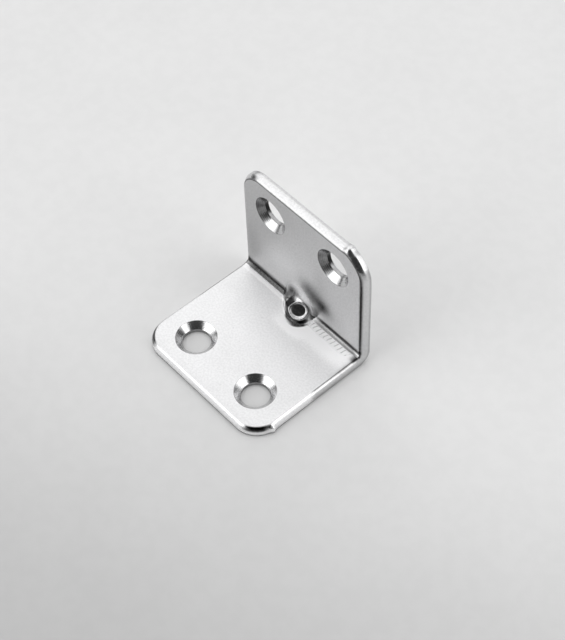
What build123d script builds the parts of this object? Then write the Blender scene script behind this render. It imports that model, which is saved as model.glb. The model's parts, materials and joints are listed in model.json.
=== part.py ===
"""Corner brace bracket: one strip of sheet steel, pierced, countersunk and folded square.

The bracket stands on its base leg.  X runs along the fold, the base leg reaches towards -Y
and the upright leg rises along +Z, with its outer face towards +Y.  The origin is the middle
of the base leg's footprint.
"""

import os

from build123d import *

# Driving dimensions, in millimetres
width = 32.0  # along the fold
base_leg = 28.0  # outer heel to the base leg's free edge
upright_leg = 28.0  # outer heel to the upright's free edge
sheet = 2.0  # thickness of the strip
fold_radius = 0.6  # inside of the fold, and where the rib runs out into the legs
corner_radius = 5.0  # free corners of both legs
edge_roll = 0.6  # rounding that blanking leaves along the inner faces' rim

hole_pitch = 16.5  # between the two screw holes of a leg
hole_setback = 7.0  # screw hole centre to the leg's free edge
bore_diameter = 5.4
sink_diameter = 7.8  # countersink, measured on the inner face
sink_angle = 90.0  # included angle of the countersink

rib_radius = 4.9  # outside of the rib pressed into the fold
rib_reach_base = 3.6  # inner corner to the rib's toe on the base leg
rib_reach_upright = 4.6  # inner corner to the rib's top on the upright
rib_wall = 1.6  # metal left over the rib's hollow
hollow_lip = 0.4  # rounding at the mouth of the hollow

# Places that follow from them
heel_y = base_leg / 2
toe_y = heel_y - base_leg
inner_y = heel_y - sheet
heel_radius = fold_radius + sheet
hollow_radius = rib_radius - rib_wall
base_holes = Plane(origin=(0, toe_y + hole_setback, sheet))
upright_holes = Plane(
    origin=(0, inner_y, upright_leg - hole_setback),
    x_dir=(1, 0, 0),
    z_dir=(0, -1, 0),
)

# The rib's ridge is a straight line from its toe on the base leg to its top on the upright
rib_toe = Vector(0, inner_y - rib_reach_base, sheet)
rib_top = Vector(0, inner_y, sheet + rib_reach_upright)
ridge = (rib_top - rib_toe).normalized()
outwards = Vector(1, 0, 0).cross(ridge)
rib_plane = Plane(
    origin=(rib_toe + rib_top) / 2 - outwards * rib_radius,
    x_dir=(1, 0, 0),
    z_dir=ridge,
)
rib_length = 2 * (rib_reach_base + rib_reach_upright + rib_radius)


def on_outline(edge: Edge) -> bool:
    """Tell whether an edge runs along the strip's cut outline."""
    middle = edge @ 0.5
    inset = min(width / 2 - abs(middle.X), middle.Y - toe_y, upright_leg - middle.Z)
    return inset < corner_radius / 2


# The rib: a round bar along the ridge, cut off inside the thickness of each leg
with BuildPart() as rib:
    with BuildSketch(rib_plane):
        Circle(rib_radius)
    extrude(amount=rib_length, both=True)
    split(bisect_by=Plane.XY.offset(sheet / 2), keep=Keep.TOP)
    split(bisect_by=Plane.XZ.offset(sheet / 2 - heel_y), keep=Keep.TOP)

with BuildPart() as bracket:
    # The folded strip, still square on the inside of the fold
    with BuildSketch(Plane.YZ):
        with BuildLine():
            Line((toe_y, 0), (heel_y - heel_radius, 0))
            CenterArc((heel_y - heel_radius, heel_radius), heel_radius, -90, 90)
            Line((heel_y, heel_radius), (heel_y, upright_leg))
            Line((heel_y, upright_leg), (inner_y, upright_leg))
            Line((inner_y, upright_leg), (inner_y, sheet))
            Line((inner_y, sheet), (toe_y, sheet))
            Line((toe_y, sheet), (toe_y, 0))
        make_face()
    extrude(amount=width / 2, both=True)
    fillet(bracket.edges().filter_by(Axis.Z).group_by(Axis.Y)[0], corner_radius)
    fillet(bracket.edges().filter_by(Axis.Y).group_by(Axis.Z)[-1], corner_radius)

    # The rib joins both legs, and one radius runs along the fold and round the rib's foot
    add(rib.part)
    fold_lines = bracket.edges().filter_by(Axis.X).group_by(Axis.Y)[-2].sort_by(Axis.Z)[:2]
    rib_foot = bracket.edges().filter_by(GeomType.ELLIPSE)
    fillet(fold_lines + rib_foot, fold_radius)

    # Blanking rolls the rim of the inner faces over and leaves the outer rim square
    inner_faces = bracket.faces().filter_by(Plane.XY).group_by(Axis.Z)[1]
    inner_faces += bracket.faces().filter_by(Plane.XZ).group_by(Axis.Y)[1]
    rim = inner_faces.edges().filter_by(on_outline)
    rim += bracket.edges().filter_by(GeomType.CIRCLE).filter_by(Plane.YZ).sort_by(SortBy.RADIUS)[:2]
    fillet(rim, edge_roll)

    # Pressing the rib leaves a hollow in the heel, behind the rib
    with BuildSketch(rib_plane):
        Circle(hollow_radius)
    extrude(amount=rib_length, both=True, mode=Mode.SUBTRACT)
    hollow_mouth = bracket.edges(Select.LAST).filter_by(GeomType.LINE, reverse=True)
    fillet(hollow_mouth, hollow_lip)

    # Two screw holes in each leg, countersunk from the inner face
    for leg_holes in (base_holes, upright_holes):
        with Locations(leg_holes):
            with GridLocations(hole_pitch, 0, 2, 1):
                CounterSinkHole(
                    radius=bore_diameter / 2,
                    counter_sink_radius=sink_diameter / 2,
                    depth=sheet,
                    counter_sink_angle=sink_angle,
                )

bracket.part.label = "bracket"
os.makedirs("parts", exist_ok=True)
export_step(bracket.part, "parts/bracket.step")
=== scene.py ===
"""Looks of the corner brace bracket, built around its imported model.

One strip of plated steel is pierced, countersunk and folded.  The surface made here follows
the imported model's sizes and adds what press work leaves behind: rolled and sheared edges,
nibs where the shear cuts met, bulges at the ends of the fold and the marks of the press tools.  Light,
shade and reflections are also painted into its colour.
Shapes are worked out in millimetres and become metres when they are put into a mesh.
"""

import json
import logging
import math
from dataclasses import dataclass, field
from enum import Enum

import bmesh
import bpy
import numpy as np
from mathutils import Matrix, Vector


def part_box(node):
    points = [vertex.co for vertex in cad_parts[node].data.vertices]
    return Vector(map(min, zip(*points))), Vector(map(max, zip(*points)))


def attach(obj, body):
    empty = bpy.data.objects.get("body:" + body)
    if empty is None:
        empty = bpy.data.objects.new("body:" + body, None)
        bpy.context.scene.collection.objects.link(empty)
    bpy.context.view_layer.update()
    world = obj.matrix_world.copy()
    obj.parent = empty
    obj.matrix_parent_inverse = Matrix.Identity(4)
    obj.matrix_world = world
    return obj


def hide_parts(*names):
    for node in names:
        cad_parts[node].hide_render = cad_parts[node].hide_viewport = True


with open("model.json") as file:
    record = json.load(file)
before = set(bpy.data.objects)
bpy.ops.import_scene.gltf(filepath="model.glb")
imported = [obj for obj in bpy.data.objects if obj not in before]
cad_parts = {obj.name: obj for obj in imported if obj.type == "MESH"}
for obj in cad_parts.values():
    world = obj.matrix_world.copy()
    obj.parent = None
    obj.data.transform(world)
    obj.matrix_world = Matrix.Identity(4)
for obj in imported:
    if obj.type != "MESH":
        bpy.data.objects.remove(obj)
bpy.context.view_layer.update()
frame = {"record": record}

MM = 0.001
FAR_BELOW = -99.0
ROOT_TWO = math.sqrt(2.0)

Array = np.ndarray
Pair = tuple[float, float]
Triple = tuple[float, float, float]
Socket = bpy.types.NodeSocket
Inputs = dict[object, object]

log = logging.getLogger("bracket")


class Leg(Enum):
    """The two legs of the folded strip."""

    BASE = "base"
    UPRIGHT = "upright"


class Face(Enum):
    """The two skins of the strip."""

    INNER = "inner"
    OUTER = "outer"


def smooth_step(value: Array, low: float, high: float) -> Array:
    """Rise from 0 at low to 1 at high along a cubic.

    Args:
        value: Where to read the curve.
        low: Value at which the rise begins.
        high: Value at which the rise ends.

    Returns:
        The cubic 3t^2 - 2t^3 of the clipped share t of the way from low to high.
    """
    share = np.clip((value - low) / (high - low), 0.0, 1.0)
    return share * share * (3.0 - 2.0 * share)


def smooth_max(first: Array, second: Array, blend: Array) -> Array:
    """Take the larger of two heights, with a rounded valley where they cross.

    Args:
        first: One height.
        second: The other height.
        blend: Difference of height inside which the two are blended.

    Returns:
        The maximum, raised by a quarter of blend times the squared closeness of the two.
    """
    close = np.clip(blend - np.abs(first - second), 0.0, None) / blend
    return np.maximum(first, second) + close * close * blend / 4.0


def hump(value: Array, rise: Pair, fall: Pair) -> Array:
    """Rise from 0 to 1 over one span and fall back to 0 over a later one.

    Args:
        value: Where to read the curve.
        rise: Values at which the rise begins and ends.
        fall: Values at which the fall begins and ends.

    Returns:
        The smooth step of the rise times one less the smooth step of the fall.
    """
    return smooth_step(value, *rise) * (1.0 - smooth_step(value, *fall))


def travel_arc(
    centre: Pair,
    radius: float,
    start: float,
    end: float,
    steps: int,
) -> Array:
    """Round a convex edge of a profile.

    Args:
        centre: Middle of the rounding, as a (radius or inset, depth) pair.
        radius: Radius of the rounding.
        start: Direction of travel at the start, in degrees off the depth axis.
        end: Direction of travel at the end, in degrees.
        steps: Number of points.

    Returns:
        Points at centre minus radius times (cos, sin) of the direction of travel.
    """
    turn = np.radians(np.linspace(start, end, steps))
    return np.stack([centre[0] - radius * np.cos(turn), centre[1] - radius * np.sin(turn)], axis=-1)


def eased(steps: int, ease: float) -> Array:
    """Share 0 to 1 into steps that are shorter at both ends.

    Args:
        steps: Number of values.
        ease: 0 for even steps, up to 1 for the shortest ends.

    Returns:
        The values t - ease * sin(2 pi t) / (2 pi).
    """
    t = np.linspace(0.0, 1.0, steps)
    return t - ease * np.sin(2.0 * np.pi * t) / (2.0 * np.pi)


@dataclass(frozen=True)
class Strip:
    """Sizes of the folded strip, in millimetres, with the fold along X."""

    width: float
    base_leg: float
    upright_leg: float
    heel_y: float
    hole_setback: float
    hole_pitch: float
    bore_radius: float
    sheet: float = 2.0
    fold_radius: float = 0.6
    corner_radius: float = 5.0
    edge_roll: float = 0.75
    roll_depth: float = 1.1
    roll_flatness: float = 1.45
    burr: float = 0.06
    sink_radius: float = 3.9
    sink_lip: float = 0.14
    sink_knee: float = 0.12

    @classmethod
    def from_frame(cls) -> "Strip":
        """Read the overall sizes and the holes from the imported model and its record.

        Returns:
            The strip, with its outer sizes from the model's box and its holes from the record.
        """
        low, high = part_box("bracket")
        mount = {m["name"]: m for m in frame["record"]["mounts"]}["base_screws"]
        return cls(
            width=(high.x - low.x) / MM,
            base_leg=(high.y - low.y) / MM,
            upright_leg=(high.z - low.z) / MM,
            heel_y=high.y / MM,
            hole_setback=(mount["pos_m"][1] - low.y) / MM,
            hole_pitch=mount["dims"]["spacing_x_mm"],
            bore_radius=mount["dims"]["hole_r_mm"],
        )

    @property
    def toe_y(self) -> float:
        """Where the base leg ends."""
        return self.heel_y - self.base_leg

    @property
    def inner_y(self) -> float:
        """Inner face of the upright."""
        return self.heel_y - self.sheet

    @property
    def split(self) -> float:
        """Distance from a free edge to the line that divides its holes from the fold."""
        return 2.0 * self.hole_setback

    def fold_start(self, leg: Leg) -> float:
        """Distance from a leg's free edge to where the fold begins."""
        length = self.base_leg if leg is Leg.BASE else self.upright_leg
        return length - self.sheet - self.fold_radius

    def place(self, leg: Leg, x: Array, run: Array, depth: Array) -> Array:
        """Place points of a flat leg.

        Args:
            leg: The leg they lie in.
            x: Distance along the fold.
            run: Distance from the leg's free edge.
            depth: Distance below the inner face.

        Returns:
            Points, with depth going down in the base leg and back in the upright.
        """
        x, run, depth = np.broadcast_arrays(x, run, depth)
        if leg is Leg.BASE:
            return np.stack([x, self.toe_y + run, self.sheet - depth], axis=-1)
        return np.stack([x, self.inner_y + depth, self.upright_leg - run], axis=-1)


@dataclass(frozen=True)
class Rib:
    """The stiffening rib pressed into the fold, in millimetres.

    Across the fold, a point is given by its distance along the chord of the two legs and its
    height over the inner corner, both measured from that corner.
    """

    radius: float = 4.6
    reach_base: float = 3.6
    reach_upright: float = 4.6
    wall: float = 1.6
    toe_blend: float = 0.5
    top_blend: float = 1.6
    swell: float = 0.45
    swell_reach: float = 2.2
    wall_gain: float = 1.3
    facet_middle: Triple = (0.6, -1.7, 1.95)
    facet_normal: Triple = (0.45, -0.45, 0.77)
    facet_place: Pair = (1.0, -0.15)
    facet_radius: float = 1.5
    lip: float = 0.22
    lip_width: float = 0.26
    offset_toe: float = 0.5
    offset_top: float = -0.7
    mouth_blend: float = 0.5
    blend_span: Pair = (-2.0, 3.0)
    askew_span: Pair = (-2.5, 0.5)
    steep_span: Pair = (-0.8, 0.6)
    flat_span: Pair = (0.92, 1.15)
    swell_side: Pair = (-2.0, 4.0)
    swell_least: float = 0.25
    swell_ends: Pair = (12.8, 15.2)
    swell_foot: Pair = (-0.6, 0.3)
    # Painted shade round the nose and a painted dark reflection on its flat
    crease_rise: Pair = (1.66, 1.9)
    crease_fall: Pair = (2.9, 3.25)
    crease_way: Pair = (-0.5, -0.87)
    crease_side: Pair = (-0.9, 0.5)
    crease_shade: float = 0.92
    nose_span: Pair = (0.85, 1.25)
    nose_shade: float = 0.55
    cheek_side: Pair = (0.2, 1.1)
    cheek_rise: Pair = (1.1, 1.3)
    cheek_fall: Pair = (1.9, 2.3)
    cheek_shade: float = 0.5

    def middle(self, chord: Array) -> Array:
        """Place of the ridge along the fold: the punch stood a little askew."""
        return self.offset_toe + (self.offset_top - self.offset_toe) * smooth_step(chord, *self.askew_span)

    def ridge(self, chord: Array) -> Array:
        """Height of the ridge: a straight line from the toe to the top."""
        toe = self.reach_base / ROOT_TWO
        return toe + self.slope * (chord + toe)

    @property
    def slope(self) -> float:
        """How fast the ridge rises along the chord."""
        return (self.reach_upright - self.reach_base) / (self.reach_upright + self.reach_base)

    @property
    def tilt(self) -> float:
        """Cosine of the ridge's tilt from the chord."""
        return 1.0 / math.hypot(1.0, self.slope)

    def bar(self, chord: Array, x: Array, radius: float) -> Array:
        """Height of a round bar under the ridge.

        Args:
            chord: Distance along the chord.
            x: Distance along the fold.
            radius: Radius of the bar, whose axis is the rib's own.

        Returns:
            Ridge height, less the drop of a circle of that radius, and far below beside it.
        """
        inside = np.clip(radius**2 - x**2, 0.0, None)
        drop = (self.radius - np.sqrt(inside)) / self.tilt
        return np.where(inside > 0.0, self.ridge(chord) - drop, FAR_BELOW)

    def outside(self, chord: Array, height: Array, x: Array) -> Array:
        """Raise the inner skin over the rib, with a crisp toe and a soft run-out at the top.

        Args:
            chord: Distance along the chord.
            height: Height of the plain fold there.
            x: Distance along the fold.

        Returns:
            The smooth maximum of the swollen fold and of the bar, whose nose is flat with a lip
            raised as a bell round the flat's edge.
        """
        run_out = smooth_step(chord, *self.blend_span)
        blend = self.toe_blend + (self.top_blend - self.toe_blend) * run_out
        height = height + self.swelling(chord, x)
        bar = self.bar(chord, x - self.middle(chord), self.radius)
        fade = 1.0 - smooth_step(chord, *self.steep_span)
        steep = height + (bar - height) * (1.0 + (self.wall_gain - 1.0) * fade)
        away = self.from_nose(chord, x)
        low, high = self.flat_span
        flat = 1.0 - smooth_step(away, self.facet_radius * low, self.facet_radius * high)
        nose = steep + (self.facet(chord, x) - steep) * flat
        bar = nose + self.lip * np.exp(-(((away - self.facet_radius) / self.lip_width) ** 2))
        return smooth_max(height, bar, blend)

    def from_nose(self, chord: Array, x: Array) -> Array:
        """Distance from the middle of the nose, over the chord and the fold."""
        x_0, chord_0 = self.facet_place
        return np.hypot(x - x_0, chord - chord_0)

    def facet(self, chord: Array, x: Array) -> Array:
        """Height of the flat that the punch leaves on the rib's nose.

        Args:
            chord: Distance along the chord.
            x: Distance along the fold.

        Returns:
            Height of a plane through a point.  The point and the plane's normal are given from
            the inner corner, as x, y and z.
        """
        across, back, lift = self.facet_normal
        x_0, y_0, z_0 = self.facet_middle
        rest = across * (x - x_0) + back * (chord / ROOT_TWO - y_0) + lift * (chord / ROOT_TWO - z_0)
        return -rest * ROOT_TWO / (lift - back)

    def nose_painted_shade(self, chord: Array, x: Array) -> Array:
        """Paint shade round the nose and a dark reflection on its flat.

        Args:
            chord: Distance along the chord.
            x: Distance along the fold.

        Returns:
            How much painted shade there is: a wide ring where the way from the nose points down the base
                or left,
            the flat itself, and a weaker narrow ring to the right.
        """
        x_0, chord_0 = self.facet_place
        across, down = self.crease_way
        away = self.from_nose(chord, x)
        crease = hump(away, self.crease_rise, self.crease_fall)
        side = smooth_step(across * (x - x_0) + down * (chord - chord_0), *self.crease_side)
        nose = 1.0 - smooth_step(away, *self.nose_span)
        cheek = smooth_step(x - x_0, *self.cheek_side) * hump(away, self.cheek_rise, self.cheek_fall)
        shade = self.crease_shade * crease * side + self.nose_shade * nose
        return shade + self.cheek_shade * cheek * (1.0 - side)

    def swelling(self, chord: Array, x: Array) -> Array:
        """Metal crowded up along the fold on the base leg, most to the right of the rib.

        Args:
            chord: Distance along the chord.
            x: Distance along the fold.

        Returns:
            Height that falls off as exp(-(distance from the corner / reach)^1.5) and fades out
            at the fold's ends.
        """
        away = np.clip(-chord * ROOT_TWO, 0.0, None) / self.swell_reach
        share = self.swell_least + (1.0 - self.swell_least) * smooth_step(x, *self.swell_side)
        ends = 1.0 - smooth_step(np.abs(x), *self.swell_ends)
        foot = smooth_step(-chord, *self.swell_foot)
        return self.swell * share * ends * np.exp(-(away**1.5)) * foot

    def inside(self, chord: Array, height: Array, x: Array) -> Array:
        """Raise the outer skin into the hollow behind the rib."""
        hollow = self.bar(chord, x - self.middle(chord), self.radius - self.wall)
        return smooth_max(height, hollow, np.full_like(height, self.mouth_blend))


@dataclass(frozen=True)
class Nudge:
    """A small local push on the metal, in millimetres: strongest at its middle, fading as a bell."""

    middle: Triple
    push: Triple
    reach: Triple

    def moved(self, points: Array) -> Array:
        """Push points by a bell.

        Args:
            points: Places, in millimetres.

        Returns:
            The places plus push times exp(-d^2), where d is the distance in units of reach.
        """
        apart = (points - np.array(self.middle)) / np.array(self.reach)
        bell = np.exp(-np.sum(apart * apart, axis=-1, keepdims=True))
        return points + bell * np.array(self.push)


@dataclass(frozen=True)
class LightAndMottlePatch:
    """A patch of the flat blank painted brighter or darker, in millimetres: mostly painted light, shade
    and reflections, with a few soft uneven patches.
    """

    middle: Pair
    reach: Pair
    amount: float
    power: float = 2.0

    def laid(self, blank: Array) -> Array:
        """Amount times exp(-|x|^power - |y|^power), x and y counted in units of reach."""
        apart = np.abs(blank[:, :2] - np.array(self.middle)) / np.array(self.reach)
        return self.amount * np.exp(-np.sum(apart**self.power, axis=-1))


class Patches:
    """Grids of points gathered into one closed skin, with what each point is on the flat blank."""

    masks = ("wall", "sink", "polish", "shade")
    patched_depth = (0.1, 0.5)
    join_distance = 2e-7

    def __init__(self) -> None:
        """Start with nothing gathered."""
        self.points: list[Array] = []
        self.blank: list[Array] = []
        self.faces: list[Array] = []
        self.shares: dict[str, list[Array]] = {name: [] for name in self.masks}
        self.count = 0

    def add(self, points: Array, blank: Array, **shares: Array) -> None:
        """Gather one grid.

        Args:
            points: Places, rows by columns by 3.
            blank: Distance across, along and into the flat blank, of the same shape.
            **shares: At each point, how much it is sheared wall, turned countersink, polished
                by the press, or darkened by painted shade, lightened where that is negative: 0 where it
                isn't given.
        """
        rows, columns = points.shape[:2]
        index = self.count + np.arange(rows * columns).reshape(rows, columns)
        corners = (index[:-1, :-1], index[1:, :-1], index[1:, 1:], index[:-1, 1:])
        self.faces.append(np.stack(corners, axis=-1).reshape(-1, 4))
        self.points.append(points.reshape(-1, 3))
        self.blank.append(blank.reshape(-1, 3))
        for name, gathered in self.shares.items():
            gathered.append(np.broadcast_to(shares.get(name, 0.0), (rows, columns)).ravel())
        self.count += rows * columns

    def build(self, name: str, nudges: list[Nudge], light_and_mottle_patches: list[LightAndMottlePatch]) -> bpy.types.Object:
        """Join the grids where they meet and make the piece.

        Args:
            name: The piece's name.
            nudges: Local pushes laid over the finished form.
            light_and_mottle_patches: Painted light, shade and reflections, and soft uneven patches, on the
                inner face.

        Returns:
            The new object, in metres, with its place in its mesh.
        """
        points = np.concatenate(self.points)
        for nudge in nudges:
            points = nudge.moved(points)
        blank = np.concatenate(self.blank)
        values = {label: np.concatenate(shares) for label, shares in self.shares.items()}
        # Painted light and shade of the patches, laid on the inner face only
        inner = 1.0 - smooth_step(blank[:, 2], *self.patched_depth)
        patched_level = 1.0 + inner * sum(each_patch.laid(blank) for each_patch in light_and_mottle_patches)
        # Painted light and shade: the patches times one less each point's painted shade
        values["tone"] = patched_level * (1.0 - values.pop("shade"))
        mesh = bpy.data.meshes.new(name)
        mesh.from_pydata((points * MM).tolist(), [], np.concatenate(self.faces).tolist())
        for label, numbers in values.items():
            attribute = mesh.attributes.new(label, "FLOAT", "POINT")
            attribute.data.foreach_set("value", numbers.astype(np.float32))
        attribute = mesh.attributes.new("blank", "FLOAT_VECTOR", "POINT")
        attribute.data.foreach_set("vector", blank.astype(np.float32).ravel())
        form = bmesh.new()
        form.from_mesh(mesh)
        bmesh.ops.remove_doubles(form, verts=form.verts, dist=self.join_distance)
        bmesh.ops.recalc_face_normals(form, faces=form.faces)
        loose = sum(1 for edge in form.edges if not edge.is_manifold)
        form.to_mesh(mesh)
        form.free()
        mesh.shade_smooth()
        piece = bpy.data.objects.new(name, mesh)
        bpy.context.scene.collection.objects.link(piece)
        log.info("%s: %d faces, %d open edges", name, len(mesh.polygons), loose)
        return piece


@dataclass(frozen=True)
class RimShade:
    """How strong the painted shade and highlight on a leg's edge are, and the depths between which each
    part changes: a dark line where the roll begins, a painted highlight on the wall and painted shade at
    the foot.
    """

    line: float
    wall_highlight: float
    foot: float
    foot_span: Pair
    line_rise: Pair = (0.0, 0.02)
    line_fall: Pair = (0.06, 0.3)
    wall_highlight_span: Pair = (0.1, 0.4)
    wall_span: Pair = (0.0, 0.25)


RIM_SHADE = {
    Leg.BASE: RimShade(line=0.12, wall_highlight=0.4, foot=0.9, foot_span=(1.55, 1.9)),
    Leg.UPRIGHT: RimShade(line=0.7, wall_highlight=0.0, foot=0.25, foot_span=(1.3, 1.7)),
}


@dataclass
class BracketSkin:
    """The whole skin of the bracket, as tiles round the holes, a folded middle and edges."""

    strip: Strip
    rib: Rib = field(default_factory=Rib)
    fine_half: float = 5.6
    columns_fine: int = 60
    columns_coarse: int = 35
    rows_coarse: int = 5
    rows_fine: int = 50
    rows_fold: int = 17
    fine_rows_share: float = 0.62
    hole_rings: int = 13
    ring_ease: float = 0.75
    side_steps: int = 18
    corner_steps: int = 28
    free_steps: int = 28
    middle_steps: int = 28
    roll_steps: int = 10
    wall_steps: int = 5
    burr_steps: int = 3
    arc_points: int = 5
    burr_points: int = 4
    # Painted shade round the rib's nose fades in over this rise of the skin
    raise_painted_shade: Pair = (0.004, 0.03)
    raise_polish: Pair = (0.02, 0.25)
    bend_polish: float = 3.4
    # Painted shade on the roll round the base leg's free corners
    corner_across: Pair = (4.2, 2.6)
    corner_run: Pair = (2.6, 4.4)
    corner_rise: Pair = (0.05, 0.2)
    corner_fall: Pair = (0.75, 1.1)
    corner_shade: float = 1.2
    # Painted shade in the bores, a dark outline inside the lips and a painted dark reflection on the
    # upright's cones
    bore_shade: float = 0.45
    sink_line: float = 0.5
    cone_shade: float = 0.55
    cone_lift: float = 0.4
    cone_span: Pair = (0.1, 0.7)
    patches: Patches = field(default_factory=Patches)

    def column_shares(self) -> Array:
        """Places across half the width.

        Returns:
            Shares of the half width from 0 to 1, close together near the rib.
        """
        fine = np.linspace(0.0, self.fine_half / (self.strip.width / 2), self.columns_fine)
        coarse = fine[-1] + (1.0 - fine[-1]) * eased(self.columns_coarse + 1, 0.0)
        return np.concatenate([fine, coarse[1:]])

    def border(self, inset: float) -> tuple[Array, int]:
        """Outline of one hole's tile on the flat blank.

        The tile lies to the right of the middle line.  Its outline goes from the middle line
        along the fold's side, down the strip's side, round the corner, back along the free
        edge and up the middle line.

        Args:
            inset: Distance in from the blank's own outline.

        Returns:
            The outline as (x, run) pairs, closed, and how many pairs lie on the fold's side
            before the strip's side begins.
        """
        strip = self.strip
        half = strip.width / 2
        radius = strip.corner_radius
        across = self.column_shares() * (half - inset)
        fold_side = np.stack([across, np.full_like(across, strip.split)], axis=-1)
        down = strip.split + (radius - strip.split) * np.linspace(0.0, 1.0, self.side_steps + 1)[1:]
        side = np.stack([np.full_like(down, half - inset), down], axis=-1)
        turn = np.radians(np.linspace(0.0, 90.0, self.corner_steps + 1)[1:])
        corner = np.stack(
            [
                half - radius + (radius - inset) * np.cos(turn),
                radius - (radius - inset) * np.sin(turn),
            ],
            axis=-1,
        )
        back = (half - radius) * np.linspace(1.0, 0.0, self.free_steps + 1)[1:]
        free = np.stack([back, np.full_like(back, inset)], axis=-1)
        up = inset + (strip.split - inset) * np.linspace(0.0, 1.0, self.middle_steps + 1)[1:]
        middle = np.stack([np.zeros_like(up), up], axis=-1)
        return np.concatenate([fold_side, side, corner, free, middle]), len(across) - 1

    def rim_profile(self) -> Array:
        """Section of the strip's edge.

        The blanking die rolls the inner face over, cuts a straight wall and leaves a small
        square burr at the outer face.

        Returns:
            (inset, depth) pairs: a quarter of a flattened ellipse, whose sine and cosine are
            raised to the roll's flatness, a straight line and a quarter circle.
        """
        strip = self.strip
        turn = np.radians(np.linspace(0.0, 90.0, self.roll_steps + 1))
        roll = np.stack(
            [
                strip.edge_roll * (1.0 - np.sin(turn) ** strip.roll_flatness),
                strip.roll_depth * (1.0 - np.cos(turn) ** strip.roll_flatness),
            ],
            axis=-1,
        )
        depth = np.linspace(strip.roll_depth, strip.sheet - strip.burr, self.wall_steps + 1)[1:]
        wall = np.stack([np.zeros_like(depth), depth], axis=-1)
        turn = np.radians(np.linspace(0.0, 90.0, self.burr_steps + 1)[1:])
        burr = np.stack(
            [strip.burr * (1.0 - np.cos(turn)), strip.sheet - strip.burr * (1.0 - np.sin(turn))],
            axis=-1,
        )
        return np.concatenate([roll, wall, burr])

    def hole_profile(self) -> Array:
        """Section of a countersunk hole: a 90 degree cone and a bore, with rounded edges.

        Returns:
            (radius, depth) pairs from the inner face out: three arcs joined by straight lines.
        """
        strip = self.strip
        lip = strip.sink_lip
        knee = strip.sink_knee
        burr = strip.burr
        cone = strip.sink_radius - strip.bore_radius
        gain = ROOT_TWO - 1.0
        lip_middle = (strip.sink_radius + gain * lip, lip)
        knee_middle = (strip.bore_radius + knee, cone + gain * knee)
        burr_middle = (strip.bore_radius + burr, strip.sheet - burr)
        return np.concatenate(
            [
                travel_arc(lip_middle, lip, 90.0, 45.0, self.arc_points),
                travel_arc(knee_middle, knee, 45.0, 0.0, self.arc_points),
                travel_arc(burr_middle, burr, 0.0, -90.0, self.burr_points),
            ]
        )

    def rim_shares(self, leg: Leg, depth: Array) -> dict[str, Array]:
        """Tell how sheared the edge is and where it is painted darker or lighter.

        Args:
            leg: The leg that the edge belongs to.
            depth: Depth below the inner face.

        Returns:
            Wall rising over the roll, and the painted shade: a dark line where the roll begins, a wall
            painted paler as a painted highlight or left plain, and a foot darkened as painted shade, each
            as strong as the leg's rim shade says.
        """
        rim_paint = RIM_SHADE[leg]
        shade = rim_paint.line * hump(depth, rim_paint.line_rise, rim_paint.line_fall)
        shade = shade - rim_paint.wall_highlight * smooth_step(depth, *rim_paint.wall_highlight_span)
        shade = shade + rim_paint.foot * smooth_step(depth, *rim_paint.foot_span)
        return {"wall": smooth_step(depth, *rim_paint.wall_span), "shade": shade}

    def corner_painted_shade(self, plan: Array, depth: Array) -> Array:
        """Paint shade on the roll round the base leg's free corners.

        Args:
            plan: Grid of (x, run) pairs along the edge.
            depth: Depth below the inner face.

        Returns:
            A band over the roll, faded in towards the corner from both sides.
        """
        half = self.strip.width / 2
        low, high = self.corner_across
        corner = smooth_step(plan[..., 0], half - low, half - high)
        corner = corner * (1.0 - smooth_step(plan[..., 1], *self.corner_run))
        return self.corner_shade * corner * hump(depth, self.corner_rise, self.corner_fall)

    def hole_painted_shade(self, leg: Leg, mirror: float, spokes: Array, depth: Array) -> Array:
        """Paint shade in a hole's bore and a dark outline inside its lip, and a painted dark reflection on
        the side of an upright's cone that faces left and up.

        Args:
            leg: The leg that the hole is in.
            mirror: 1 for the right half of the strip, -1 for the left half.
            spokes: Directions from the hole's middle, as (x, run) pairs.
            depth: Depth of each row of the hole's section.

        Returns:
            The painted shade, with a row for each depth and a column for each spoke.
        """
        cone = self.strip.sink_radius - self.strip.bore_radius
        hole_shade = np.where(depth > cone, self.bore_shade, 0.0)
        # The first points inside the lip carry the painted dark outline
        hole_shade[1:3] = self.sink_line
        shade = np.repeat(hole_shade[:, None], len(spokes), axis=1)
        if leg is Leg.UPRIGHT:
            facing = -mirror * spokes[:, 0] - self.cone_lift * spokes[:, 1]
            shade[1:-1] += self.cone_shade * smooth_step(facing, *self.cone_span)
        return shade

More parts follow.
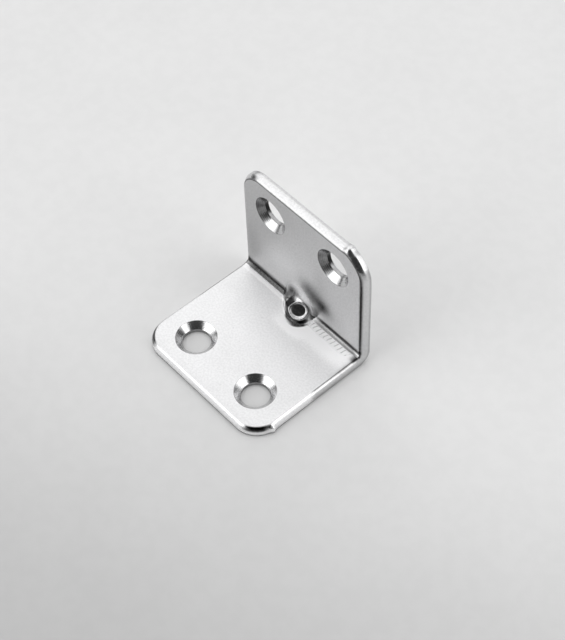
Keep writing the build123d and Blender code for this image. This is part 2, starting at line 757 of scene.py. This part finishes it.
    def add_tile(self, leg: Leg, mirror: float) -> None:
        """Add one screw hole with the part of both skins and of the edge that belongs to it.

        Args:
            leg: The leg that the hole is in.
            mirror: 1 for the right half of the strip, -1 for the left half.
        """
        strip = self.strip
        centre = np.array([strip.hole_pitch / 2, strip.hole_setback])
        profile = self.hole_profile()
        rim = self.rim_profile()
        inner_border, first = self.border(rim[0, 0])
        outer_border, _ = self.border(rim[-1, 0])
        spokes = inner_border - centre
        spokes /= np.linalg.norm(spokes, axis=-1, keepdims=True)
        share = eased(self.hole_rings, self.ring_ease)[:, None, None]
        for border, radius, depth in (
            (inner_border, profile[0, 0], 0.0),
            (outer_border, profile[-1, 0], strip.sheet),
        ):
            circle = centre + radius * spokes
            self.add_plan(leg, mirror, circle + (border - circle) * share, depth)
        band = centre + profile[:, 0, None, None] * spokes
        turned = np.ones(len(profile))
        turned[0] = 0.0
        turned[-1] = 0.0
        shade = self.hole_painted_shade(leg, mirror, spokes, profile[:, 1])
        self.add_plan(leg, mirror, band, profile[:, 1, None], sink=turned[:, None], shade=shade)
        edge = slice(first, len(inner_border) - self.middle_steps)
        edge_plan = np.stack([self.border(inset)[0][edge] for inset in rim[:, 0]])
        edge_shares = self.rim_shares(leg, rim[:, 1, None])
        if leg is Leg.BASE:
            edge_shares["shade"] = edge_shares["shade"] + self.corner_painted_shade(edge_plan, rim[:, 1, None])
        self.add_plan(leg, mirror, edge_plan, rim[:, 1, None], **edge_shares)

    def add_plan(
        self,
        leg: Leg,
        mirror: float,
        plan: Array,
        depth: Array | float,
        **shares: Array,
    ) -> None:
        """Add a grid that is given on the flat blank of one leg.

        Args:
            leg: The leg.
            mirror: 1 for the right half of the strip, -1 for the left half.
            plan: Grid of (x, run) pairs.
            depth: Depth below the inner face.
            **shares: What the points are, as Patches.add takes it.
        """
        x = mirror * plan[..., 0]
        run = plan[..., 1]
        depth = np.broadcast_to(depth, x.shape)
        side = -1.0 if leg is Leg.BASE else 1.0
        along = side * (self.strip.base_leg - run)
        blank = np.stack([x, along, depth], axis=-1)
        self.patches.add(self.strip.place(leg, x, run, depth), blank, **shares)

    def path(self, depth: float) -> tuple[Array, Array]:
        """Line across the fold at one depth, from the base leg's holes to the upright's.

        Args:
            depth: Distance below the inner face.

        Returns:
            (y, z) pairs: a straight run, a quarter circle about the fold's centre and a
            straight run, and the distance along the blank from the fold's middle.
        """
        strip = self.strip
        start = strip.fold_start(Leg.BASE)
        middle = start - (start - strip.split) * self.fine_rows_share
        coarse = np.linspace(strip.split, middle, self.rows_coarse + 1)[:-1]
        fine = np.linspace(middle, start, self.rows_fine + 1)
        run = np.concatenate([coarse, fine])
        base = strip.place(Leg.BASE, np.zeros_like(run), run, np.full_like(run, depth))[:, 1:]
        upright = strip.place(Leg.UPRIGHT, np.zeros_like(run), run, np.full_like(run, depth))[:, 1:]
        turn = np.radians(np.linspace(0.0, 90.0, self.rows_fold))[1:-1]
        radius = strip.fold_radius + depth
        centre = np.array([strip.inner_y - strip.fold_radius, strip.sheet + strip.fold_radius])
        arc = centre + radius * np.stack([np.sin(turn), -np.cos(turn)], axis=-1)
        bend = (strip.fold_radius + strip.sheet / 2) * (turn - np.pi / 4)
        reach = strip.base_leg - run
        along = np.concatenate([-reach, bend, reach[::-1]])
        return np.concatenate([base, arc, upright[::-1]]), along

    def add_fold(self) -> None:
        """Add both skins across the fold, with the rib and its hollow, and the fold's two ends."""
        strip = self.strip
        rim = self.rim_profile()
        shares = self.column_shares()
        shares = np.concatenate([-shares[:0:-1], shares])
        for face, inset, depth in (
            (Face.INNER, rim[0, 0], 0.0),
            (Face.OUTER, rim[-1, 0], strip.sheet),
        ):
            line, along = self.path(depth)
            offset = line - np.array([strip.inner_y, strip.sheet])
            chord = ((offset[:, 0] + offset[:, 1]) / ROOT_TWO)[:, None]
            height = ((offset[:, 1] - offset[:, 0]) / ROOT_TWO)[:, None]
            x = (shares * (strip.width / 2 - inset))[None, :]
            chord, height, x = np.broadcast_arrays(chord, height, x)
            raise_skin = self.rib.outside if face is Face.INNER else self.rib.inside
            raised = raise_skin(chord, height, x)
            polish = smooth_step(raised - height, *self.raise_polish)
            shade = 0.0
            if face is Face.INNER:
                polish = np.maximum(polish, np.exp(-((along[:, None] / self.bend_polish) ** 4)))
                # Painted shade round the rib's nose and a painted dark reflection on it
                shade = self.rib.nose_painted_shade(chord, x) * smooth_step(raised - height, *self.raise_painted_shade)
            y = strip.inner_y + (chord - raised) / ROOT_TWO
            z = strip.sheet + (chord + raised) / ROOT_TWO
            run = np.broadcast_to(along[:, None], x.shape)
            blank = np.stack([x, run, np.full_like(x, depth)], axis=-1)
            self.patches.add(np.stack([x, y, z], axis=-1), blank, polish=polish, shade=shade)
        for mirror in (1.0, -1.0):
            lines = [self.path(depth) for depth in rim[:, 1]]
            yz = np.stack([line for line, _ in lines])
            along = np.stack([places for _, places in lines])
            x = np.broadcast_to(mirror * (strip.width / 2 - rim[:, 0, None]), along.shape)
            depth = np.broadcast_to(rim[:, 1, None], along.shape)
            blank = np.stack([x, along, depth], axis=-1)
            points = np.concatenate([x[..., None], yz], axis=-1)
            self.patches.add(points, blank, **self.rim_shares(Leg.UPRIGHT, depth))

    def nudges(self) -> list[Nudge]:
        """List what the press and the shear left proud or pushed in.

        Returns:
            The bulges at the fold's two ends, the base's nib, the upright's nib and the softened
            corner beside it.
        """
        strip = self.strip
        half = strip.width / 2
        top = strip.upright_leg
        return [
            Nudge((-half, strip.inner_y - 0.4, strip.sheet + 0.3), (-0.3, -0.1, 0.1), (0.8, 0.7, 0.7)),
            Nudge((half, strip.inner_y - 0.4, strip.sheet + 0.3), (0.3, -0.1, 0.1), (0.8, 0.7, 0.7)),
            Nudge((half, strip.toe_y + 4.4, strip.sheet / 2), (0.42, 0.0, 0.0), (0.6, 0.45, 2.0)),
            Nudge((half - 4.7, strip.heel_y - 1.0, top), (0.0, 0.0, 0.42), (0.7, 2.5, 0.8)),
            Nudge((half - 1.0, strip.heel_y - 1.0, top - 2.0), (-0.25, 0.0, -0.3), (2.6, 6.0, 3.4)),
        ]

    def light_and_mottle_patches(self) -> list[LightAndMottlePatch]:
        """List the painted light, shade and reflections on the inner face, and a few soft uneven patches.

        Returns:
            The patches, given on the flat blank: the base leg's places along it are negative.
        """
        start = self.strip.sheet + self.strip.fold_radius
        return [
            # Glare by the fold's right half, below the toe, and over the base leg
            LightAndMottlePatch((9.5, -start - 1.2), (6.3, 3.2), 0.45, 3.0),
            LightAndMottlePatch((1.4, -start - 3.9), (3.2, 1.5), 0.5, 3.0),
            LightAndMottlePatch((5.0, -start - 5.0), (14.0, 9.0), 0.15, 3.0),
            LightAndMottlePatch((0.0, -14.0), (30.0, 14.5), 0.12, 8.0),
            # Painted shade: the upright is painted a shade darker
            LightAndMottlePatch((0.0, 16.0), (30.0, 13.0), -0.14, 8.0),
            # Painted shade on the upper side of the fold's left half, with a painted highlight line under
            # it
            LightAndMottlePatch((-9.2, 0.7), (6.8, 3.0), -0.92, 8.0),
            LightAndMottlePatch((-9.2, -3.1), (6.6, 0.5), 0.5, 4.0),
            # Painted shade in the hollows to the left of the rib
            LightAndMottlePatch((-2.8, 4.6), (1.3, 1.5), -0.6),
            LightAndMottlePatch((-1.5, 5.4), (1.3, 1.3), -0.45),
            LightAndMottlePatch((-0.9, 0.6), (0.6, 3.8), -0.8, 4.0),
            # Painted shade above the rib, and to its right a painted reflection of the rib's dark nose
            LightAndMottlePatch((1.8, 8.8), (2.6, 2.4), -0.5),
            LightAndMottlePatch((5.4, 7.2), (2.2, 2.0), -0.7),
            # Painted shade in the fold to the right of the rib, with a painted highlight line in its
            # middle
            LightAndMottlePatch((9.6, 0.35), (6.2, 2.75), -1.05, 8.0),
            LightAndMottlePatch((9.6, 0.2), (6.2, 0.5), 0.6),
            LightAndMottlePatch((9.8, 3.1), (6.0, 0.35), -0.5, 4.0),
            # Soft unevenness of the upright
            LightAndMottlePatch((13.0, 6.0), (2.5, 5.0), 0.08),
            LightAndMottlePatch((-5.0, 11.0), (5.0, 3.5), 0.1),
            LightAndMottlePatch((4.5, 14.0), (2.0, 5.0), -0.08),
            LightAndMottlePatch((-13.5, 9.0), (2.0, 7.0), -0.1),
            # Dark line down the upright's right edge
            LightAndMottlePatch((15.45, 13.5), (0.42, 11.5), -0.7, 6.0),
            # Painted shade in the corner at the fold's right end, running out along the base's edge
            LightAndMottlePatch((15.4, -2.9), (0.9, 1.0), -0.98, 4.0),
            LightAndMottlePatch((15.5, -5.4), (0.4, 3.2), -0.7),
            # Painted shade in the corner at the fold's left end
            LightAndMottlePatch((-15.4, 2.8), (0.8, 0.8), -0.95),
        ]

    def build(self) -> bpy.types.Object:
        """Build the whole skin.

        Returns:
            One closed piece.
        """
        for leg in Leg:
            for mirror in (1.0, -1.0):
                self.add_tile(leg, mirror)
        self.add_fold()
        return self.patches.build("bracket_skin", self.nudges(), self.light_and_mottle_patches())


class MixKind(Enum):
    """What a mix node mixes: its type, the number of its first input and that of its output."""

    NUMBERS = ("FLOAT", 2, 0)
    COLORS = ("RGBA", 6, 2)


class Graph:
    """A node tree with short ways to add nodes and links."""

    def __init__(self, tree: bpy.types.NodeTree) -> None:
        """Wrap a node tree."""
        self.tree = tree

    def put(self, socket: Socket, value: object) -> None:
        """Feed an input socket.

        Args:
            socket: The input.
            value: An output socket to link from, or a constant.
        """
        if isinstance(value, Socket):
            self.tree.links.new(value, socket)
        else:
            socket.default_value = value

    def add(self, kind: str, inputs: Inputs | None = None, **settings: object) -> bpy.types.Node:
        """Add a node.

        Args:
            kind: The node's type.
            inputs: What feeds its inputs, by name or number, if anything does.
            **settings: Its properties, set before its inputs are fed.

        Returns:
            The new node.
        """
        node = self.tree.nodes.new(kind)
        for name, value in settings.items():
            setattr(node, name, value)
        for key, value in (inputs or {}).items():
            self.put(node.inputs[key], value)
        return node

    def math(self, operation: str, *values: object) -> Socket:
        """Work out one operation on numbers."""
        return self.add("ShaderNodeMath", dict(enumerate(values)), operation=operation).outputs[0]

    def mix(
        self, share: object, first: object, second: object, kind: MixKind = MixKind.NUMBERS
    ) -> Socket:
        """Mix two numbers or two colours.

        Args:
            share: How much of the second there is.
            first: What a share of 0 gives.
            second: What a share of 1 gives.
            kind: Whether they are numbers or colours.

        Returns:
            The mixture.
        """
        data_type, start, output = kind.value
        inputs = {0: share, start: first, start + 1: second}
        return self.add("ShaderNodeMix", inputs, data_type=data_type).outputs[output]

    def step(self, value: object, low: float, high: float) -> Socket:
        """Rise smoothly from 0 at low to 1 at high."""
        span = {"Value": value, "From Min": low, "From Max": high}
        return self.add("ShaderNodeMapRange", span, interpolation_type="SMOOTHSTEP").outputs[0]

    def vector(self, operation: str, inputs: Inputs) -> bpy.types.NodeOutputs:
        """Work out one operation on vectors."""
        return self.add("ShaderNodeVectorMath", inputs, operation=operation).outputs

    def parts(self, vector: object) -> bpy.types.NodeOutputs:
        """Take a vector apart into X, Y and Z."""
        return self.add("ShaderNodeSeparateXYZ", {0: vector}).outputs

    def noise(self, vector: object, scale: object, detail: float) -> Socket:
        """Read a noise texture, about 0.5 on the whole."""
        inputs = {"Vector": vector, "Scale": scale, "Detail": detail}
        return self.add("ShaderNodeTexNoise", inputs).outputs[0]


class GroupMaker:
    """Builds a shader node group with named inputs and outputs."""

    def __init__(self, name: str, inputs: dict[str, float], outputs: tuple[str, ...]) -> None:
        """Start a group.

        Args:
            name: The group's name.
            inputs: Each number that the group takes, with its usual value.
            outputs: The numbers that it gives.
        """
        self.tree = bpy.data.node_groups.new(name, "ShaderNodeTree")
        self.tree.interface.new_socket("Place", in_out="INPUT", socket_type="NodeSocketVector")
        for label, value in inputs.items():
            socket = self.tree.interface.new_socket(label, in_out="INPUT", socket_type="NodeSocketFloat")
            socket.default_value = value
        for label in outputs:
            self.tree.interface.new_socket(label, in_out="OUTPUT", socket_type="NodeSocketFloat")
        self.graph = Graph(self.tree)
        self.taken = self.graph.add("NodeGroupInput").outputs
        self.given = self.graph.add("NodeGroupOutput").inputs


@dataclass(frozen=True)
class FineSpeckle:
    """Fine grain of a surface: close mottling, slow clouds and a few dark specks."""

    grain: float = 2.6
    cloud: float = 0.3
    specks: float = 1.6
    detail: float = 3.0
    speck_detail: float = 4.0
    mottle_span: Pair = (0.35, 0.65)
    cloud_span: Pair = (0.3, 0.7)
    speck_span: Pair = (0.67, 0.76)

    def make(self) -> bpy.types.NodeTree:
        """Make the group.

        Returns:
            A group that gives the mottling, the clouds, the specks and a height for relief.
        """
        usual = {"Grain": self.grain, "Cloud": self.cloud, "Specks": self.specks}
        maker = GroupMaker("fine_speckle", usual, ("Mottle", "Cloud", "Speck", "Height"))
        graph = maker.graph
        place = maker.taken["Place"]
        grain = graph.noise(place, maker.taken["Grain"], self.detail)
        cloud = graph.noise(place, maker.taken["Cloud"], self.detail)
        dots = graph.noise(place, maker.taken["Specks"], self.speck_detail)
        graph.put(maker.given["Mottle"], graph.step(grain, *self.mottle_span))
        graph.put(maker.given["Cloud"], graph.step(cloud, *self.cloud_span))
        graph.put(maker.given["Speck"], graph.step(dots, *self.speck_span))
        graph.put(maker.given["Height"], grain)
        return maker.tree


@dataclass(frozen=True)
class ToolTicks:
    """Row of short nicks that the press tool leaves beside the fold, in millimetres.

    A nick is where the distance across the blank, counted in pitches, is near a whole number
    and a half, inside a band along the fold; a little noise makes them uneven.
    """

    pitch: float = 0.95
    start: float = 4.2
    end: float = 13.6
    near: float = -4.6
    far: float = -2.7
    skin: float = 0.05
    noise_scale: float = 1.1
    noise_detail: float = 2.0
    stray: float = 0.5
    ragged: float = 1.4
    lean: float = -0.25
    width: Pair = (0.06, 0.17)

    def make(self) -> bpy.types.NodeTree:
        """Make the group.

        Returns:
            A group that gives how much of a nick there is.
        """
        usual = {"Pitch": self.pitch, "Start": self.start, "End": self.end}
        usual |= {"Near": self.near, "Far": self.far, "Skin": self.skin}
        maker = GroupMaker("tool_ticks", usual, ("Tick",))
        graph = maker.graph
        place = graph.parts(maker.taken["Place"])
        wobble = graph.noise(maker.taken["Place"], self.noise_scale, self.noise_detail)
        across = graph.math("ADD", place["X"], graph.math("MULTIPLY", wobble, self.stray))
        lean = graph.math("ADD", across, graph.math("MULTIPLY", place["Y"], self.lean))
        share = graph.math("FRACT", graph.math("DIVIDE", lean, maker.taken["Pitch"]))
        off = graph.math("ABSOLUTE", graph.math("SUBTRACT", share, 0.5))
        tick = graph.math("SUBTRACT", 1.0, graph.step(off, *self.width))
        near = graph.math("ADD", maker.taken["Near"], graph.math("MULTIPLY", wobble, self.ragged))
        for operation, value, limit in (
            ("GREATER_THAN", place["Y"], near),
            ("LESS_THAN", place["Y"], maker.taken["Far"]),
            ("GREATER_THAN", place["X"], maker.taken["Start"]),
            ("LESS_THAN", place["X"], maker.taken["End"]),
            ("LESS_THAN", place["Z"], maker.taken["Skin"]),
        ):
            tick = graph.math("MULTIPLY", tick, graph.math(operation, value, limit))
        graph.put(maker.given["Tick"], tick)
        return maker.tree


@dataclass(frozen=True)
class PlatedSteel:
    """Bright zinc plating: satin on the faces, shinier where the metal was bent or cut, with painted light
    and shade in its colour.
    """

    color: Triple = (0.66, 0.66, 0.665)
    face_roughness: float = 0.44
    edge_roughness: float = 0.16
    grain: float = 2.6
    mottle: float = 0.10
    specks: float = 0.30
    ticks: float = 0.75
    painted_glow: float = 0.85
    ring_pitch: float = 0.24
    ring_shade: float = 0.05
    ring_height: float = 0.25
    painted_glow_span: Pair = (1.15, 1.6)
    cloud_roughness: float = 0.05
    shade_limits: Pair = (0.03, 1.5)
    streak_scale: Triple = (7.0, 7.0, 0.5)
    streak_height: float = 0.4
    tick_height: float = 1.5
    relief: float = 0.03
    relief_strength: float = 0.5

    def make(self, speckle: bpy.types.NodeTree) -> bpy.types.Material:
        """Make the material.

        Args:
            speckle: The group that gives a surface its grain.

        Returns:
            A metal whose roughness, shade and fine relief change over the faces, the sheared
            walls and the countersinks.
        """
        material = bpy.data.materials.new("plated_steel")
        material.use_nodes = True
        graph = Graph(material.node_tree)
        shader = material.node_tree.nodes["Principled BSDF"]
        blank = graph.add("ShaderNodeAttribute", attribute_name="blank").outputs["Vector"]
        wall, sink, polish, tone = (
            graph.add("ShaderNodeAttribute", attribute_name=name).outputs["Fac"]
            for name in ("wall", "sink", "polish", "tone")
        )
        grain = graph.add("ShaderNodeGroup", {"Place": blank, "Grain": self.grain}, node_tree=speckle)
        ticks = ToolTicks().make()
        tick = graph.add("ShaderNodeGroup", {"Place": blank}, node_tree=ticks).outputs["Tick"]
        turns = graph.math("MULTIPLY", graph.parts(blank)["Z"], 2.0 * math.pi / self.ring_pitch)
        ring = graph.math("MULTIPLY", graph.math("SINE", turns), sink)

        # Painted glow: where the painted light is brightest the metal turns partly diffuse, so the glow
        # renders white
        painted_glow = graph.math("MULTIPLY", graph.step(tone, *self.painted_glow_span), self.painted_glow)
        graph.put(shader.inputs["Metallic"], graph.math("SUBTRACT", 1.0, painted_glow))

        cut = graph.math("MAXIMUM", graph.math("MAXIMUM", wall, sink), polish)
        rough = graph.mix(cut, self.face_roughness, self.edge_roughness)
        cloud = graph.math("MULTIPLY", grain.outputs["Cloud"], self.cloud_roughness)
        graph.put(shader.inputs["Roughness"], graph.math("ADD", rough, cloud))

        speck = graph.math("MULTIPLY", grain.outputs["Speck"], graph.math("SUBTRACT", 1.0, cut))
        # The colour starts from the painted light and shade, less grain, specks, nicks and rings
        shade = tone
        for effect, amount in (
            (grain.outputs["Mottle"], self.mottle),
            (speck, self.specks),
            (tick, self.ticks),
            (ring, self.ring_shade),
        ):
            shade = graph.math("SUBTRACT", shade, graph.math("MULTIPLY", effect, amount))
        least, most = self.shade_limits
        shade = graph.math("MINIMUM", graph.math("MAXIMUM", shade, least), most)
        color = graph.vector("SCALE", {0: self.color, "Scale": shade})[0]
        graph.put(shader.inputs["Base Color"], color)

        streak = graph.noise(graph.vector("MULTIPLY", {0: blank, 1: self.streak_scale})[0], 1.0, 2.0)
        streak = graph.math("MULTIPLY", streak, graph.math("MULTIPLY", wall, self.streak_height))
        ring = graph.math("MULTIPLY", ring, self.ring_height)
        height = graph.math("ADD", graph.math("ADD", grain.outputs["Height"], ring), streak)
        height = graph.math("SUBTRACT", height, graph.math("MULTIPLY", tick, self.tick_height))
        relief = {"Height": height, "Strength": self.relief_strength, "Distance": self.relief * MM}
        graph.put(shader.inputs["Normal"], graph.add("ShaderNodeBump", relief).outputs[0])
        return material


@dataclass(frozen=True)
class Floor:
    """A wide pale sheet of paper under the bracket, painted darker towards the near side as painted light
    falloff.
    """

    size: float = 6.0
    # Painted light falloff: the paper darkens from the far colour to the near colour against the fall
    # direction
    shaded_near_color: Triple = (0.455, 0.455, 0.455)
    lit_far_color: Triple = (0.69, 0.69, 0.69)
    fall: Triple = (-0.415, 0.91, 0.0)
    near_edge: float = -0.078
    far_edge: float = 0.012
    gap: float = 0.00002
    grain: float = 0.35
    cloud: float = 0.05
    blotch: float = 0.02
    roughness: float = 0.9
    specular: float = 0.1

    def build(self, speckle: bpy.types.NodeTree) -> bpy.types.Object:
        """Build the floor as a square grid at the bracket's foot, and dress it with painted light falloff
        and paper grain.

        Args:
            speckle: The group that gives a surface its grain.

        Returns:
            The floor.
        """
        side = np.linspace(-self.size / 2, self.size / 2, 3)
        x, y = np.meshgrid(side, side)
        points = np.stack([x, y, np.full_like(x, -self.gap)], axis=-1).reshape(-1, 3)
        faces = [(i, i + 1, i + 4, i + 3) for i in (0, 1, 3, 4)]
        mesh = bpy.data.meshes.new("floor")
        mesh.from_pydata(points.tolist(), [], faces)
        piece = bpy.data.objects.new("floor", mesh)
        bpy.context.scene.collection.objects.link(piece)
        material = bpy.data.materials.new("floor_paper")
        material.use_nodes = True
        shader = material.node_tree.nodes["Principled BSDF"]
        shader.inputs["Roughness"].default_value = self.roughness
        shader.inputs["Specular IOR Level"].default_value = self.specular
        graph = Graph(material.node_tree)
        spot = graph.add("ShaderNodeTexCoord").outputs["Object"]
        place = graph.vector("DOT_PRODUCT", {0: spot, 1: self.fall})["Value"]
        share = graph.step(place, self.near_edge, self.far_edge)
        ends = ((*self.shaded_near_color, 1.0), (*self.lit_far_color, 1.0))
        color = graph.mix(share, *ends, MixKind.COLORS)
        spot = graph.vector("MULTIPLY", {0: spot, 1: (1.0 / MM, 1.0 / MM, 1.0 / MM)})[0]
        values = {"Place": spot, "Grain": self.grain, "Cloud": self.cloud}
        fiber = graph.add("ShaderNodeGroup", values, node_tree=speckle).outputs
        uneven = graph.math("ADD", fiber["Mottle"], fiber["Cloud"])
        shade = graph.math("SUBTRACT", 1.0 + self.blotch, graph.math("MULTIPLY", uneven, self.blotch))
        paper = graph.vector("SCALE", {0: color, "Scale": shade})[0]
        graph.put(shader.inputs["Base Color"], paper)
        mesh.materials.append(material)
        return piece


@dataclass(frozen=True)
class SkyPatch:
    """A soft-edged round patch of the studio's surroundings, in degrees."""

    azimuth: float
    elevation: float
    core: float
    edge: float
    strength: float

    @property
    def axis(self) -> Triple:
        """Direction of the patch's middle.

        Returns:
            A unit vector: azimuth 0 is towards -Y, 90 towards +X.
        """
        turn = math.radians(self.azimuth)
        lift = math.radians(self.elevation)
        return (math.sin(turn) * math.cos(lift), -math.cos(turn) * math.cos(lift), math.sin(lift))


@dataclass(frozen=True)
class Studio:
    """Soft light from all round, with the darker side where the person at the camera stands."""

    level: float = 0.9
    horizon: float = 0.35
    horizon_top: float = 0.3
    patches: tuple[SkyPatch, ...] = (
        SkyPatch(azimuth=-130.0, elevation=60.0, core=22.0, edge=60.0, strength=1.4),
        SkyPatch(azimuth=-25.0, elevation=28.0, core=12.0, edge=34.0, strength=2.4),
        SkyPatch(azimuth=-52.0, elevation=55.0, core=12.0, edge=30.0, strength=1.5),
        SkyPatch(azimuth=116.0, elevation=28.0, core=12.0, edge=34.0, strength=2.0),
        SkyPatch(azimuth=-74.0, elevation=6.0, core=8.0, edge=22.0, strength=0.1),
        SkyPatch(azimuth=49.9, elevation=30.0, core=28.0, edge=46.0, strength=0.04),
    )

    def build(self) -> None:
        """Make the surroundings: an even level, and each patch blended over it."""
        world = bpy.data.worlds.new("studio")
        bpy.context.scene.world = world
        world.use_nodes = True
        graph = Graph(world.node_tree)
        background = world.node_tree.nodes["Background"]
        direction = graph.add("ShaderNodeTexCoord").outputs["Generated"]
        risen = graph.step(graph.parts(direction)["Z"], 0.0, self.horizon_top)
        level = graph.mix(risen, self.horizon, self.level)
        for patch in self.patches:
            closeness = graph.vector("DOT_PRODUCT", {0: direction, 1: patch.axis})["Value"]
            low = math.cos(math.radians(patch.edge))
            high = math.cos(math.radians(patch.core))
            level = graph.mix(graph.step(closeness, low, high), level, patch.strength)
        graph.put(background.inputs["Strength"], level)
        background.inputs["Color"].default_value = (1.0, 1.0, 1.0, 1.0)


@dataclass(frozen=True)
class Viewpoint:
    """The camera: where it looks from, in degrees and millimetres, and its clip in metres.

    The camera looks at a point near the middle of the heel, moved a little across and along
    the picture so that the bracket stands where it should in the frame.
    """

    strip: Strip
    azimuth: float = 49.903
    elevation: float = 52.5635
    roll: float = -2.2103
    distance: float = 304.0
    lens: float = 90.86
    across: float = 5.292
    above: float = 2.181
    sensor: float = 36.0
    clip: Pair = (0.01, 20.0)

    def build(self) -> None:
        """Make the camera and turn it about its own axes."""
        turn = math.radians(self.azimuth)
        lift = math.radians(self.elevation)
        lean = math.radians(self.roll)
        right = Vector((math.cos(turn), math.sin(turn), 0.0))
        up = Vector((-math.sin(turn) * math.sin(lift), math.cos(turn) * math.sin(lift), math.cos(lift)))
        back = right.cross(up)
        level_right = right * math.cos(lean) + up * math.sin(lean)
        level_up = up * math.cos(lean) - right * math.sin(lean)
        heel = Vector((0.0, self.strip.heel_y, 0.0))
        place = heel - level_right * self.across - level_up * self.above + back * self.distance
        camera = bpy.data.objects.new("camera", bpy.data.cameras.new("camera"))
        camera.data.lens = self.lens
        camera.data.sensor_width = self.sensor
        camera.data.clip_start, camera.data.clip_end = self.clip
        turned = Matrix((level_right, level_up, back)).transposed().to_4x4()
        camera.matrix_world = Matrix.Translation(place * MM) @ turned
        bpy.context.scene.collection.objects.link(camera)
        bpy.context.scene.camera = camera


def main() -> None:
    """Build the bracket, its finish, the floor, the light and the camera."""
    logging.basicConfig(level=logging.INFO, format="%(name)s: %(message)s")
    bpy.context.scene.view_settings.view_transform = "Standard"
    strip = Strip.from_frame()
    bracket = BracketSkin(strip).build()
    speckle = FineSpeckle().make()
    bracket.data.materials.append(PlatedSteel().make(speckle))
    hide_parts("bracket")
    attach(bracket, "root")
    floor = Floor().build(speckle)
    for piece in (bracket, floor):
        log.info("%s wears %s", piece.name, piece.active_material.name)
    Studio().build()
    Viewpoint(strip).build()


if __name__ == "__main__":
    main()
